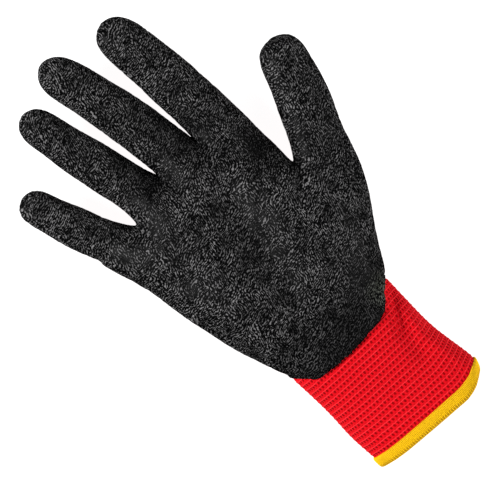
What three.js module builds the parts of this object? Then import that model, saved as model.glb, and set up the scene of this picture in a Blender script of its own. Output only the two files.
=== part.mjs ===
// A knitted work glove for the right hand, dipped in crinkled latex over its palm side. It lies on its
// back and keeps the form of a hand: palm up, fingers along +Y and a little spread, thumb towards +X. The
// knit is one tube that splits into a thumb and four fingers. Its outer surface is drawn first, as rings
// of points with a smooth surface through them. Every piece is then a layer at its own height above that
// surface. The origin is on the surface that the glove rests on, under the middle of the back of the
// hand.
import * as THREE from "three";

// Sizes in millimetres. Lengths along the hand start at the wrist, where the ribbed cuff joins the hand.
const PALM_LENGTH = 107;
const PALM_WIDTH = 97;
const PALM_DEPTH = 35;
const KNUCKLE_DEPTH = 24;
const WRIST_WIDTH = 68.2;
const WRIST_SHIFT = -0.5;
const WRIST_DEPTH = 32;
const CUFF_LENGTH = 68;
const CUFF_DEPTH = 29;
const HEM_WIDTH = 6;
const COAT_OVERLAP = 16;
const REST_CENTRE = 58;

// Walls, and the clearance that each layer keeps to the next.
const KNIT_WALL = 1.3;
const COAT_WALL = 0.7;
const HEM_WALL = 0.8;
const CLEARANCE = 0.3;

// Each finger: its length, width and depth in millimetres, how far its root's middle is moved towards the
// thumb, as a share of its width, and how much narrower it gets, as a share.
const FINGERS = [
  { name: "little", length: 51.5, width: 18.5, depth: 16.5, side: -0.06, taper: 0.12 },
  { name: "ring", length: 73, width: 20.5, depth: 19, side: 0.05, taper: 0.15 },
  { name: "middle", length: 79.5, width: 22, depth: 20, side: 0.01, taper: 0.09 },
  { name: "index", length: 73.5, width: 23.5, depth: 20, side: 0.02, taper: 0.09 },
];
const THUMB = { name: "thumb", length: 58, width: 25, depth: 22, side: 0.03, taper: 0.1 };
// The fingers' headings in degrees. Lean is from straight ahead at the root and turn is what the tip adds
// to it. Lift is above the level at the root and curl is what the tip adds to it.
const HEADINGS = {
  little: { lean: -24.5, turn: 8, lift: 2, curl: 13 },
  ring: { lean: -14.5, turn: 3, lift: 1, curl: 13 },
  middle: { lean: -7, turn: -10, lift: 1, curl: 12 },
  index: { lean: -0.5, turn: -10, lift: 1, curl: 13 },
  thumb: { lean: 28, turn: -16, lift: 5, curl: 8 },
};

// Rings along each finger: where, as a share of its length, and how wide there, as a share of the tapered
// width.
const FINGER_RINGS = [
  { at: 0.13, wide: 1.01 },
  { at: 0.42, wide: 1.01 },
  { at: 0.7, wide: 0.96 },
  { at: 0.91, wide: 0.8 },
];

// The ends of the finger roots, from the little finger's outer side to the index finger's: x as a share
// of the palm's width from the hand's centre line, y as a share of the palm's length.
const ROOT_ENDS = [
  { x: -0.615, y: 0.895 },
  { x: -0.37, y: 0.92 },
  { x: -0.12, y: 1.01 },
  { x: 0.13, y: 1.005 },
  { x: 0.385, y: 0.985 },
];
// The thumb's root, from its crotch to its outer side, and the palm's outer side level with it, in the
// same shares.
const THUMB_CROTCH = { x: 0.4, y: 0.64 };
const THUMB_OUTER = { x: 0.675, y: 0.54 };
const PALM_OUTER = { x: -0.53, y: 0.62 };

// Rings of the hand below the thumb's root: where, as a share of the way to it, how deep, as a share of
// the palm's depth, and how far each side stands outside the straight line to it, as a share of the
// palm's width.
const HEEL_RINGS = [
  { at: 0.35, deep: 0.98, little: 0.02, thumb: 0.014 },
  { at: 0.69, deep: 1, little: 0.018, thumb: 0.032 },
];
// Rings of the cuff from its open end: where, as a share of its length, its two sides, as shares of half
// the wrist's width, how much of the hem's slope it follows, and how far it is lifted for the hem, as a
// share of its height.
const CUFF_RINGS = [
  { at: 0, left: -0.895, right: 1.03, sloped: 1, lifted: 1 },
  { at: 0.09, left: -0.905, right: 1.085, sloped: 1, lifted: 1 },
  { at: 0.31, left: -0.94, right: 1.025, sloped: 0.75, lifted: 0 },
  { at: 0.57, left: -0.93, right: 0.975, sloped: 0.35, lifted: 0 },
];
const COAT_END_RING = { left: -0.965, right: 0.98, lifted: 0 };
// The open end's slope round the palm side of the cuff: x as a share of its half width, y in shares of
// HEM_WIDTH.
const HEM_SLOPE = [
  { x: -1, y: 0.15 },
  { x: -0.6, y: -0.1 },
  { x: 0, y: -0.3 },
  { x: 0.65, y: -0.5 },
  { x: 0.9, y: 0.05 },
  { x: 1, y: 0.45 },
];
// The coating's end over the cuff: x as a share of the wrist's half width, y as a share of COAT_OVERLAP.
const COAT_END = [
  { x: -1, y: 0.32 },
  { x: -0.75, y: 0.87 },
  { x: -0.47, y: 1 },
  { x: 0.1, y: 1.02 },
  { x: 0.64, y: 0.86 },
  { x: 0.78, y: 0.57 },
  { x: 0.95, y: 0.12 },
  { x: 1, y: 0.08 },
];

// Soft pads and hollows of the palm side: centre and reach as shares of the palm's length and width,
// height as a share of its depth.
const PADS = [
  { name: "thumb_base", x: 0.36, y: 0.32, reachX: 0.2, reachY: 0.28, height: 0.085 },
  { name: "little_heel", x: -0.27, y: 0.3, reachX: 0.15, reachY: 0.26, height: 0.055 },
  { name: "palm_hollow", x: -0.02, y: 0.5, reachX: 0.15, reachY: 0.26, height: -0.085 },
  { name: "finger_pads", x: -0.05, y: 0.86, reachX: 0.36, reachY: 0.09, height: 0.045 },
];
// The crease in the cuff under the thumb: its ends and its reach in shares of the wrist's width and the
// cuff's length, and its depth as a share of the cuff's.
const CREASE = { fromX: 0.3, fromY: -0.56, toX: 0.47, toY: -0.16, reach: 0.075, depth: 0.085 };

// The webs beside the thumb and between the fingers: how far their two ends are drawn back, as a share of
// the palm's length, and how high those ends lie, as shares of the hand's depth there.
const THUMB_WEB = { drawnBack: 0.05, top: 0.8, middle: 0.5, back: 0.16 };
const FINGER_WEB = { drawnBack: 0.035, top: 0.8, back: 0.14 };

// The tube's section, a superellipse, and how the rings are shared out over it.
const HAND_COLUMNS = 11;
const PALM_COLUMNS = 9;
const SECTION_POWER = 2.4;
const FINGER_POWER = 2.2;
const CORNER = 0.86;
const KNUCKLE_CORNER = 0.7;
const FINGER_CORNER = 0.74;
const COLUMN_EASING = 0.35;
// The height of the tube's widest line, the depth at the thumb's root and half way to the knuckles, and
// how far the outermost columns of the knuckles stand in, all as shares.
const SIDE_HEIGHT = 0.46;
const THUMB_ROOT_DEPTH = 0.95;
const TO_KNUCKLES = 0.45;
const KNUCKLE_INSET = 0.14;
// The ring that carries the coating's end, as a share of its overlap.
const COAT_RING = 0.3;
// Rounds of correction that bring the surface through the points of the rings.
const FIT_PASSES = 12;
// How far the back is pressed flat by the surface that it rests on.
const PRESSED = 0.9;

const { lerp, clamp, degToRad } = THREE.MathUtils;
const inPalm = (place) => new THREE.Vector3(place.x * PALM_WIDTH, place.y * PALM_LENGTH, 0);
const wristSide = (x) => new THREE.Vector3((x * WRIST_WIDTH) / 2 + WRIST_SHIFT, 0, 0);
const skin = CLEARANCE + COAT_WALL;
const hemHeight = CLEARANCE + HEM_WALL;

// The value of a table's y at x, on straight lines between its rows.
function readTable(table, x) {
  const last = table.findIndex((row) => row.x >= x);
  if (last <= 0) return last === 0 ? table[0].y : table[table.length - 1].y;
  const [a, b] = [table[last - 1], table[last]];
  return lerp(a.y, b.y, (x - a.x) / (b.x - a.x));
}

// The height of a superellipse of half height 1 at share x of its half width.
function superellipse(x, power) {
  return (1 - Math.abs(clamp(x, -1, 1)) ** power) ** (1 / power);
}

// The cage: points that the surface passes through, and the four-sided faces between them.
const points = [];
const faces = [];
const addPoint = (p) => points.push(p.clone()) - 1;

// A ring runs over the palm side from the little finger's side to the thumb's, down the side, back under
// the hand and up again. top and back list the columns in the same order, and the sides are one point
// each.
const closeRing = ({ top, back, right, left }) => [...top, right, ...[...back].reverse(), left];
const partOf = (ring, from, to, sides) => ({
  top: ring.top.slice(from, to + 1),
  back: ring.back.slice(from, to + 1),
  ...sides,
});

// Which side of the tube each step of a closed ring lies on, and which corners of its faces lie higher.
function sidesOf(columns) {
  const run = (side) => Array(columns - 1).fill({ side });
  const upper = { side: "upper" };
  const [right, left] = [[0, 3], [1, 2]].map((high) => ({ side: "lower", high }));
  return [...run("top"), upper, right, ...run("back"), left, upper];
}

// The faces of the tube between one ring and the next, with the piece and the band that they belong to.
function addBand(from, to, piece, band = piece) {
  const [a, b] = [closeRing(from), closeRing(to)];
  sidesOf(from.top.length).forEach((side, i) => {
    const next = (i + 1) % a.length;
    faces.push({ corners: [a[i], a[next], b[next], b[i]], piece, band, ...side });
  });
}

// A ring across the hand. Its columns are given in plan, and their heights follow the section between the
// sides.
function addHandRing({ left, right, columns, mid, top, floor, corner = CORNER }) {
  const heightAt = (x) => superellipse(((x - left.x) / (right.x - left.x)) * 2 - 1, SECTION_POWER);
  const place = (column, z) => addPoint(new THREE.Vector3(column.x, column.y, z));
  return {
    top: columns.map((c) => place(c, mid + (top - mid) * heightAt(c.x))),
    back: columns.map((c, i) => {
      const edge = i === 0 || i === columns.length - 1;
      return place(c, edge ? lerp(mid, floor, corner) : floor);
    }),
    left: place(left, mid),
    right: place(right, mid),
  };
}

// Columns at even angles over a section, as points between its two sides.
function evenColumns(left, right, count) {
  return Array.from({ length: count }, (_, i) => {
    const x = (i / (count - 1)) * 2 - 1;
    const eased = CORNER * lerp(x, Math.sin((x * Math.PI) / 2), COLUMN_EASING);
    return left.clone().lerp(right, (eased + 1) / 2);
  });
}

// The cuff and the overlap of the coating, from the open end to the wrist.
function addCuff() {
  const rings = CUFF_RINGS.map((row) => {
    return cuffRing(row, (share) => row.sloped * HEM_WIDTH * readTable(HEM_SLOPE, share));
  });
  const coatEnd = { ...COAT_END_RING, at: 1 - (COAT_OVERLAP * COAT_RING) / CUFF_LENGTH };
  rings.push(cuffRing(coatEnd, (share) => COAT_OVERLAP * (COAT_RING - readTable(COAT_END, share))));
  rings.push(cuffRing({ at: 1, left: -1, right: 1, lifted: 0 }, () => 0));
  const bands = ["hem", "cuff", "cuff", "cuff", "overlap"];
  bands.forEach((band, i) => addBand(rings[i], rings[i + 1], "cuff", band));
  return rings;
}

function cuffRing(row, slope) {
  const y = (row.at - 1) * CUFF_LENGTH;
  const floor = row.lifted * hemHeight - PRESSED * (1 - row.lifted);
  const depth = lerp(CUFF_DEPTH, WRIST_DEPTH, row.at);
  const [left, right] = [row.left, row.right].map((x) => wristSide(x).setY(y));
  const columns = evenColumns(left, right, HAND_COLUMNS);
  const height = { mid: depth * SIDE_HEIGHT + floor, top: depth + floor, floor };
  const ring = addHandRing({ left, right, columns, ...height });
  const share = (i) => ((points[i].x - left.x) / (right.x - left.x)) * 2 - 1;
  for (const i of [...ring.top, ring.left, ring.right]) points[i].y += slope(share(i));
  for (const i of ring.back) points[i].y += lerp(slope(-1), slope(1), (share(i) + 1) / 2);
  return ring;
}

// The hand from the wrist to the thumb's root and on to the finger roots.
function addHand(wrist) {
  const crotch = inPalm(THUMB_CROTCH);
  const thumbEnd = inPalm(THUMB_OUTER);
  const littleEnd = inPalm(PALM_OUTER);
  const split = [...evenColumns(littleEnd, crotch, PALM_COLUMNS)];
  split[PALM_COLUMNS - 1] = crotch.clone();
  split.push(crotch.clone().lerp(thumbEnd, 0.5), crotch.clone().lerp(thumbEnd, 0.9));
  const wristColumns = evenColumns(wristSide(-1), wristSide(1), HAND_COLUMNS);

  let last = wrist;
  for (const { at, deep, little, thumb } of HEEL_RINGS) {
    const left = wristSide(-1).lerp(littleEnd, at);
    const right = wristSide(1).lerp(thumbEnd, at);
    left.x -= little * PALM_WIDTH;
    right.x += thumb * PALM_WIDTH;
    const columns = wristColumns.map((c, i) => c.clone().lerp(split[i], at));
    const top = deep * PALM_DEPTH;
    const ring = addHandRing({ left, right, columns, mid: top * SIDE_HEIGHT, top, floor: -PRESSED });
    addBand(last, ring, "hand");
    last = ring;
  }

  const top = PALM_DEPTH * THUMB_ROOT_DEPTH;
  const mid = top * SIDE_HEIGHT;
  const ring = addHandRing({ left: littleEnd, right: thumbEnd, columns: split, mid, top, floor: -PRESSED });
  addBand(last, ring, "hand");
  // The web between palm and thumb: its middle stands furthest forward, and the two ends are drawn back.
  const web = addPoint(crotch.clone().setZ(top * THUMB_WEB.middle));
  const drawnBack = PALM_LENGTH * THUMB_WEB.drawnBack;
  const [webTop, webBack] = [ring.top[PALM_COLUMNS - 1], ring.back[PALM_COLUMNS - 1]];
  points[webTop].y -= drawnBack;
  points[webTop].z = top * THUMB_WEB.top;
  points[webBack].y -= drawnBack;
  points[webBack].z = top * THUMB_WEB.back;
  addFinger(partOf(ring, PALM_COLUMNS - 1, HAND_COLUMNS - 1, { left: web, right: ring.right }), THUMB);

  addKnuckles(partOf(ring, 0, PALM_COLUMNS - 1, { left: ring.left, right: web }));
}

// The palm beyond the thumb, and the four fingers that it splits into.
function addKnuckles(split) {
  const ends = ROOT_ENDS.map(inPalm);
  const columns = ends.flatMap((end, i) => {
    if (i === ends.length - 1) return [end.clone()];
    return [end.clone(), end.clone().lerp(ends[i + 1], 0.5)];
  });
  const inset = FINGERS[0].width * KNUCKLE_INSET;
  columns[0].x += inset;
  columns[PALM_COLUMNS - 1].x -= inset;

  const halfway = split.top.map((i, column) => points[i].clone().lerp(columns[column], 0.5));
  const sides = { left: ends[0].clone().lerp(points[split.left], 0.5), right: ends.at(-1).clone() };
  sides.right.lerp(points[split.right], 0.5);
  halfway[PALM_COLUMNS - 1].x = sides.right.x - inset;
  const depth = lerp(PALM_DEPTH, KNUCKLE_DEPTH, TO_KNUCKLES);
  const height = { mid: depth * SIDE_HEIGHT, top: depth, floor: -PRESSED };
  const middle = addHandRing({ ...sides, ...height, columns: halfway });
  addBand(split, middle, "hand");

  const mid = KNUCKLE_DEPTH * SIDE_HEIGHT;
  const roots = addHandRing({
    left: ends[0],
    right: ends.at(-1),
    columns,
    mid,
    top: KNUCKLE_DEPTH,
    floor: -PRESSED,
    corner: KNUCKLE_CORNER,
  });
  // The webs between the fingers: drawn back and lowered on both sides of the hand.
  const drawnBack = PALM_LENGTH * FINGER_WEB.drawnBack;
  const webs = [2, 4, 6].map((column) => {
    const web = addPoint(columns[column].clone().setZ(mid));
    points[roots.top[column]].y -= drawnBack;
    points[roots.top[column]].z = KNUCKLE_DEPTH * FINGER_WEB.top;
    points[roots.back[column]].y -= drawnBack;
    points[roots.back[column]].z = KNUCKLE_DEPTH * FINGER_WEB.back;
    return web;
  });
  addBand(middle, roots, "hand");
  const sideChain = [roots.left, ...webs, roots.right];
  FINGERS.forEach((finger, i) => {
    addFinger(partOf(roots, 2 * i, 2 * i + 2, { left: sideChain[i], right: sideChain[i + 1] }), finger);
  });
}

// The direction of a finger at a share of its length.
function heading({ name }, share) {
  const { lean, turn, lift, curl } = HEADINGS[name];
  const yaw = degToRad(lean + turn * share);
  const pitch = degToRad(lift + curl * share);
  const level = new THREE.Vector3(Math.sin(yaw), Math.cos(yaw), 0);
  return level.multiplyScalar(Math.cos(pitch)).setZ(Math.sin(pitch));
}

// A finger from its root ring to its closed tip. A circular arc's chord points half way between its ends'
// headings.
function addFinger(root, finger) {
  const base = points[root.left].clone().lerp(points[root.right], 0.5);
  base.z = finger === THUMB ? PALM_DEPTH / 2 : Math.max(KNUCKLE_DEPTH * SIDE_HEIGHT, finger.depth / 2);
  base.x += finger.side * finger.width;
  const spine = (share) => base.clone().addScaledVector(heading(finger, share / 2), finger.length * share);
  let last = root;
  FINGER_RINGS.forEach(({ at, wide }, i) => {
    const along = heading(finger, at);
    const across = new THREE.Vector3(along.y, -along.x, 0).normalize();
    const up = across.clone().cross(along);
    const half = ((1 - finger.taper * at) * wide) / 2;
    const corner = superellipse(FINGER_CORNER, FINGER_POWER);
    const place = (x, z) => {
      const offset = across.clone().multiplyScalar(x * half * finger.width);
      return addPoint(spine(at).add(offset).addScaledVector(up, z * half * finger.depth));
    };
    const ring = {
      top: [place(-FINGER_CORNER, corner), place(0, 1), place(FINGER_CORNER, corner)],
      back: [place(-FINGER_CORNER, -corner), place(0, -1), place(FINGER_CORNER, -corner)],
      left: place(-1, 0),
      right: place(1, 0),
    };
    addBand(last, ring, finger.name, i === FINGER_RINGS.length - 1 ? "fingertip" : "finger");
    last = ring;
  });
  const tip = addPoint(spine(1));
  const end = closeRing(last);
  for (let i = 1; i < end.length; i += 2) {
    const corners = [end[i - 1], end[i], tip, end[(i + 6) % 8]];
    faces.push({ corners, piece: finger.name, band: "fingertip", side: "tip" });
  }
}

function averageOf(list) {
  return list.reduce((sum, p) => sum.add(p), new THREE.Vector3()).divideScalar(list.length);
}

// One round of Catmull-Clark refinement of four-sided faces. Child k of a face holds its corner k.
function refine(cage, quads) {
  const edges = new Map();
  const key = (a, b) => (a < b ? `${a}_${b}` : `${b}_${a}`);
  const centres = quads.map(({ corners }) => averageOf(corners.map((i) => cage[i])));
  quads.forEach(({ corners }, f) => {
    corners.forEach((a, k) => {
      const b = corners[(k + 1) % 4];
      if (!edges.has(key(a, b))) edges.set(key(a, b), { ends: [a, b], around: [] });
      edges.get(key(a, b)).around.push(f);
    });
  });
  const near = cage.map(() => ({ faces: [], edges: [] }));
  quads.forEach(({ corners }, f) => corners.forEach((i) => near[i].faces.push(f)));
  for (const edge of edges.values()) edge.ends.forEach((i) => near[i].edges.push(edge));

  const middle = ({ ends: [a, b] }) => cage[a].clone().lerp(cage[b], 0.5);
  const moved = cage.map((p, i) => {
    const open = near[i].edges.filter((edge) => edge.around.length === 1);
    if (open.length) return averageOf(open.map(middle)).lerp(p, 0.5);
    const n = near[i].faces.length;
    const pull = averageOf(near[i].edges.map(middle)).multiplyScalar(2);
    pull.add(averageOf(near[i].faces.map((f) => centres[f])));
    return pull.addScaledVector(p, n - 3).divideScalar(n);
  });
  const edgeIndex = new Map();
  for (const [name, edge] of edges) {
    const spread = edge.around.map((f) => centres[f]);
    edgeIndex.set(name, moved.length);
    moved.push(spread.length === 1 ? middle(edge) : middle(edge).lerp(averageOf(spread), 0.5));
  }
  const firstCentre = moved.length;
  moved.push(...centres);
  const pointOn = (a, b) => edgeIndex.get(key(a, b));
  const children = quads.flatMap((quad, f) => {
    const { corners } = quad;
    return corners.map((a, k) => {
      const after = pointOn(a, corners[(k + 1) % 4]);
      const before = pointOn(corners[(k + 3) % 4], a);
      return { ...quad, corners: [a, after, firstCentre + f, before], child: k };
    });
  });
  return { points: moved, faces: children, pointOn, centreOf: (f) => firstCentre + f };
}

// The refined surface that passes through the given points: what it misses by is added to its cage and
// tried again.
function surfaceThrough(targets, quads) {
  const cage = targets.map((p) => p.clone());
  for (let pass = 0; pass < FIT_PASSES; pass += 1) {
    const reached = refine(cage, quads).points;
    targets.forEach((target, i) => cage[i].add(target).sub(reached[i]));
  }
  return refine(cage, quads);
}

// The pads of the palm, and the crease of the cuff, on the side of the glove that faces up.
function relief({ x, y }) {
  const pads = PADS.reduce((sum, pad) => {
    const across = (x / PALM_WIDTH - pad.x) / pad.reachX;
    const along = (y / PALM_LENGTH - pad.y) / pad.reachY;
    return sum + pad.height * PALM_DEPTH * Math.exp(-(across ** 2 + along ** 2));
  }, 0);
  const from = new THREE.Vector2(CREASE.fromX * WRIST_WIDTH, CREASE.fromY * CUFF_LENGTH);
  const to = new THREE.Vector2(CREASE.toX * WRIST_WIDTH, CREASE.toY * CUFF_LENGTH);
  const line = to.clone().sub(from);
  const here = new THREE.Vector2(x, y).sub(from);
  const share = clamp(here.dot(line) / line.lengthSq(), 0, 1);
  const away = here.distanceTo(line.multiplyScalar(share)) / (CREASE.reach * WRIST_WIDTH);
  return pads - CREASE.depth * CUFF_DEPTH * Math.exp(-(away ** 2));
}

// The normal at each point: the mean of its faces' normals, all counted alike, so that a web's points
// straight out.
function normalsOf(shape, quads) {
  const normals = shape.map(() => new THREE.Vector3());
  for (const { corners } of quads) {
    const [a, b, c, d] = corners.map((i) => shape[i]);
    const normal = c.clone().sub(a).cross(d.clone().sub(b)).normalize();
    corners.forEach((i) => normals[i].add(normal));
  }
  return normals.map((n) => n.normalize());
}

const cuffRings = addCuff();
addHand(cuffRings.at(-1));
const surface = surfaceThrough(points, faces);
const shaped = surface.points.map((p) => p.clone());
normalsOf(shaped, surface.faces).forEach((n, i) => {
  shaped[i].z += relief(shaped[i]) * Math.max(n.z, 0);
});
shaped.forEach((p) => p.setZ(Math.max(p.z, 0)));

// The cuff's open end and the hem's start, point by point, and the row between them, which lies straight.
const [hemEnd, hemStart] = [cuffRings[0], cuffRings[1]].map((ring) => {
  const loop = closeRing(ring);
  return loop.flatMap((a, i) => [a, surface.pointOn(a, loop[(i + 1) % loop.length])]);
});
hemEnd.forEach((a, i) => {
  const between = i % 2 ? surface.centreOf((i - 1) / 2) : surface.pointOn(a, hemStart[i]);
  shaped[between].lerpVectors(shaped[a], shaped[hemStart[i]], 0.5);
});
const normals = normalsOf(shaped, surface.faces);

// The surface at a height above the knit's outside. It stays above the floor by its own depth below that
// outside.
function layer(height) {
  return shaped.map((p, i) => {
    const moved = p.clone().addScaledVector(normals[i], height);
    return moved.setZ(Math.max(moved.z, -height, 0));
  });
}

// One closed solid between two layers of the same faces.
function shell(quads, outer, inner) {
  const corners = [];
  const quad = (a, b, c, d) => corners.push(a, b, c, a, c, d);
  const seen = new Map();
  for (const { corners: ring } of quads) {
    const [a, b, c, d] = ring.map((i) => inner[i]);
    quad(...ring.map((i) => outer[i]));
    quad(c, b, a, d);
    ring.forEach((a, k) => {
      const b = ring[(k + 1) % 4];
      seen.set(`${a}_${b}`, [a, b]);
    });
  }
  for (const [a, b] of seen.values()) {
    if (!seen.has(`${b}_${a}`)) quad(outer[b], outer[a], inner[a], inner[b]);
  }
  return new THREE.BufferGeometry().setFromPoints(corners);
}

// The coating covers the palm side and the sides to below their middle, all of each fingertip, and the
// cuff's end.
function isCoated({ band, side, high, child }) {
  if (band === "hem" || band === "cuff") return false;
  if (band === "overlap") return side === "top" || side === "upper";
  if (band === "fingertip" || side === "top" || side === "upper") return true;
  return side === "lower" && high.includes(child);
}

// A layer of one piece of the knit, drawn back by half the clearance from its seams with the other pieces.
function drawnBack(quads, height) {
  const own = new Set(quads);
  const others = new Set(surface.faces.filter((face) => !own.has(face)).flatMap((face) => face.corners));
  const inward = new Map();
  for (const { corners } of quads) {
    const centre = averageOf(corners.map((i) => shaped[i]));
    for (const i of corners.filter((corner) => others.has(corner))) {
      if (!inward.has(i)) inward.set(i, new THREE.Vector3());
      inward.get(i).add(centre.clone().sub(shaped[i]));
    }
  }
  return layer(height).map((p, i) => {
    if (!inward.has(i)) return p;
    p.addScaledVector(inward.get(i).normalize(), CLEARANCE / 2);
    return p.setZ(Math.max(p.z, 0));
  });
}

// One piece of the knit: a tube that is open at its seams.
function makeKnit(piece) {
  const quads = surface.faces.filter((face) => face.piece === piece);
  return shell(quads, drawnBack(quads, 0), drawnBack(quads, -KNIT_WALL));
}

function makeCoating() {
  return shell(surface.faces.filter(isCoated), layer(skin), layer(CLEARANCE));
}

// The overlocked hem: a band folded round the cuff's open end, drawn as one section swept round it. Each
// row of the section has its ring, its height above the knit's outside and how far it stands beyond the
// cuff's end.
function makeHem() {
  const [end, start] = [hemEnd, hemStart];
  const under = -KNIT_WALL - CLEARANCE;
  const section = [
    { ring: start, height: CLEARANCE, beyond: 0 },
    { ring: start, height: hemHeight, beyond: 0 },
    { ring: end, height: hemHeight, beyond: 0 },
    { ring: end, height: CLEARANCE + HEM_WALL * 0.3, beyond: CLEARANCE + HEM_WALL * 0.7 },
    { ring: end, height: -KNIT_WALL / 2, beyond: hemHeight },
    { ring: end, height: under - HEM_WALL * 0.3, beyond: CLEARANCE + HEM_WALL * 0.7 },
    { ring: end, height: under - HEM_WALL, beyond: 0 },
    { ring: start, height: under - HEM_WALL, beyond: 0 },
    { ring: start, height: under, beyond: 0 },
    { ring: end, height: under, beyond: CLEARANCE },
    { ring: end, height: CLEARANCE, beyond: CLEARANCE },
  ];
  const rows = section.map(({ ring, height, beyond }) => {
    return ring.map((i, k) => {
      const outward = shaped[end[k]].clone().sub(shaped[start[k]]).normalize();
      const p = shaped[i].clone().addScaledVector(normals[i], height).addScaledVector(outward, beyond);
      return p.setZ(Math.max(p.z, 0));
    });
  });
  const corners = [];
  rows.forEach((row, r) => {
    const next = rows[(r + 1) % rows.length];
    row.forEach((p, k) => {
      const after = (k + 1) % row.length;
      corners.push(p, next[k], row[after], row[after], next[k], next[after]);
    });
  });
  return new THREE.BufferGeometry().setFromPoints(corners);
}

const finish = (color, roughness) => new THREE.MeshStandardMaterial({ color, roughness, metalness: 0 });
const knit = ["hand", "thumb", "index", "middle", "ring", "little"].map((piece) => {
  const name = piece === "hand" || piece === "thumb" ? `knit_${piece}` : `knit_${piece}_finger`;
  return { name, geometry: makeKnit(piece), material: finish(0xcf1220, 0.85) };
});
const pieces = [
  ...knit,
  { name: "ribbed_cuff", geometry: makeKnit("cuff"), material: finish(0xe0141f, 0.85) },
  { name: "cuff_hem", geometry: makeHem(), material: finish(0xe8b800, 0.8) },
  { name: "latex_coating", geometry: makeCoating(), material: finish(0x1b1b1c, 0.55) },
];

const glove = new THREE.Group();
for (const { name, geometry, material } of pieces) {
  geometry.computeVertexNormals();
  const mesh = new THREE.Mesh(geometry, material);
  mesh.name = name;
  glove.add(mesh);
}
glove.position.y = -REST_CENTRE;

export default glove;
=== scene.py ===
"""Dresses the solids of a latex coated grip glove in crinkled latex, two knits and an overlocked hem."""

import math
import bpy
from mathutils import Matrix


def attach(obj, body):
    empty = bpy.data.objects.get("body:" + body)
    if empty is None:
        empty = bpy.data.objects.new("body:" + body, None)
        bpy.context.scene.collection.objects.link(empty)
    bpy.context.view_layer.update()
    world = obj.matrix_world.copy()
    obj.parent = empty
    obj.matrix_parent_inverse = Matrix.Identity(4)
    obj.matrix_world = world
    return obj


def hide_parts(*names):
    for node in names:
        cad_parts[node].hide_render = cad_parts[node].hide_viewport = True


bl_info = {
    "name": "Latex coated grip glove",
    "version": (1, 0, 0),
    "blender": (4, 5, 0),
    "location": "View3D > Sidebar > Glove",
    "description": "Makes the latex coating, the knit, the cuff and the hem of a work glove round its solids",
    "category": "Object",
}

import bmesh
import bpy
import numpy as np
from bpy.props import FloatProperty, FloatVectorProperty, IntProperty, PointerProperty
from bpy.types import Operator, Panel, PropertyGroup
from mathutils import Matrix, Vector, kdtree, noise
from mathutils.bvhtree import BVHTree

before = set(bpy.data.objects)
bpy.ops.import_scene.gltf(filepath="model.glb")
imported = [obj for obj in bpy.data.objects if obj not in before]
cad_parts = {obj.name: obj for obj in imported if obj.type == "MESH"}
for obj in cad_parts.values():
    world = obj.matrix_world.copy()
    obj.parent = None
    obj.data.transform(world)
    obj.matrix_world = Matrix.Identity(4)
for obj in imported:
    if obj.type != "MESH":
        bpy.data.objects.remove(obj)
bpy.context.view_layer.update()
MM = 0.001
CIRCLE = 2 * math.pi
# The knit's own pieces, and a little more than the widest gap at a seam between them.
KNIT = (
    "knit_hand",
    "knit_thumb",
    "knit_index_finger",
    "knit_middle_finger",
    "knit_ring_finger",
    "knit_little_finger",
)
SEAM_GAP = 0.45 * MM
# Points of a solid that lie closer than this are one point.
SAME_POINT = 0.001 * MM
# How often a smoothed piece's cage is corrected, so that the smooth surface meets the piece's own points.
CAGE_ROUNDS = 5
# How often the knit and the coating are subdivided.
KNIT_LEVELS = 2
COATING_LEVELS = 3
# Points round the cuff's outside, rows of them along it, rows along its inside, and how many outer points
# lie between two inner ones.
CUFF_COLUMNS = 516
CUFF_ROWS = 149
INSIDE_ROWS = 30
INSIDE_STEP = 4
# How far the cuff's inside lies in from its outside, and how high it lies over the ground.
INSIDE_DEPTH = 1.5 * MM
INSIDE_FLOOR = 1.3 * MM
# The cuff's outer wall is found by this many rays from outside, and kept as this many rings.
WALL_RAYS = 361
RAY_START = 100 * MM
WALL_RINGS = 36
# Its slanted open end lies from just before its lowest point to this far past it, and is found by halving.
END_BEFORE = 1 * MM
END_PAST = 16 * MM
END_HALVINGS = 12
# The last ring lies this far short of the wrist. Where a ray slips through, places close beside it are tried.
WRIST_MARGIN = 0.4 * MM
NEARBY = np.arange(0, 2, 0.1) * MM
# How much of the relief's height the knit keeps to each side of its ground, and how deep the holes and the
# dashed line lie, in cord heights.
RELIEF_SHARE = 0.6
HOLE_DEPTH = 0.9
DASH_DEPTH = 0.35
# How far the cuff is sunk under the coating, and at the wrist, over the last stretch before it.
SUNK_UNDER_COATING = 0.6 * MM
SUNK_AT_WRIST = 0.5 * MM
WRIST_STRETCH = 3 * MM
# Beside the coating the sinking ends at this distance, and fades over the last stretch before it.
SINKING_END = 3 * MM
SINKING_FADE = 2 * MM
# How far a place in the cuff's rows wavers, as a share of the pitch, and over what distance.
ROW_WAVER = 0.08
WAVER_REACH = 8 * MM
# Points round the hem.
HEM_COLUMNS = 1300
# How wide the hem is, and its section in mm: how far a point lies from the hem's edge towards the open end,
# and how high over the cuff's wall.
HEM_WIDTH = 6.1 * MM
HEM_SECTION = [
    (-0.1, -0.2),
    (0.1, 0.55),
    (0.5, 0.9),
    (1.2, 1.05),
    (2.5, 1.1),
    (3.8, 1.1),
    (4.9, 1.05),
    (5.7, 0.8),
    (6.1, 0.35),
    (6.3, -0.3),
    (6.35, -0.9),
    (6.25, -1.5),
    (5.9, -2.0),
    (5.3, -2.3),
    (4.0, -2.4),
    (2.6, -2.4),
    (1.2, -2.3),
    (0.4, -2.1),
    (0.0, -1.5),
]
# How wide the hem's pattern map is, and where the row of knots lies across it.
HEM_PATTERN = 8
HEM_KNOTS = 2.85
# How far the threads' ends scallop the hem's first rows, and the share of their relief that is left there.
SCALLOP = 0.25 * MM
END_RELIEF = 0.3
# How soon the threads' slant is passed on the way round the section.
SLANT_RATE = 2.2
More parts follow.
